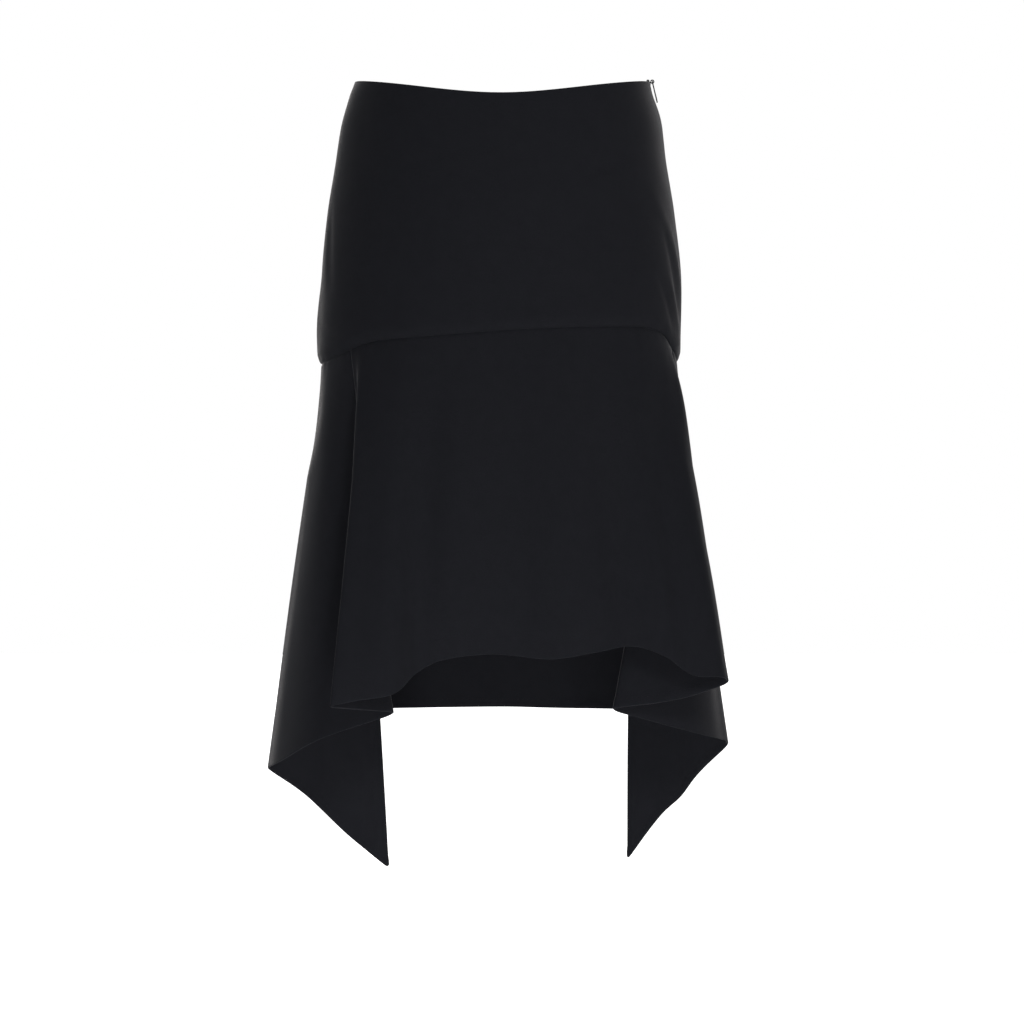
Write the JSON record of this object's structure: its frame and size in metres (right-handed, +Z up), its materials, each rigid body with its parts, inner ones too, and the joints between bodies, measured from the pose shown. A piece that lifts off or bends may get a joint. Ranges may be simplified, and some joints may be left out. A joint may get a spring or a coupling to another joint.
{
  "type": "pleated skirt",
  "caption": "Black worn skirt: a fitted hip yoke over a flared flounce in deep side folds, with a long point at each side and a concealed side zip.",
  "frame": {"origin": "the middle of the waist opening, level with the waist edge at the side seams, where the wearer's waist holds the skirt", "axes": "+Z up along the wearer's body, the longest extent; the front faces -Y; +X is the wearer's left, where the zip is"},
  "size_m": [0.4347, 0.2958, 0.7484],
  "materials": {
    "cloth": "matte black crepe with a soft nap at grazing angles",
    "zip_tape": "black woven zip tape",
    "zip_metal": "black lacquered zinc"
  },
  "bodies": {
    "skirt": {"front_yoke": "cloth", "back_yoke": "cloth", "front_flounce": "cloth", "back_flounce": "cloth", "left_gore": "cloth", "right_gore": "cloth", "zip_tape_front": "zip_tape", "zip_tape_back": "zip_tape", "zip_slider": "zip_metal"},
    "pull_tab": {"zip_pull": "zip_metal"}
  },
  "joints": [
    {"name": "pull_swing", "type": "hinge", "parent": "skirt", "child": "pull_tab", "pos_m": [0.1409, 0, 0.0012], "axis": [0, -1, 0], "range_deg": [0, 150]}
  ]
}
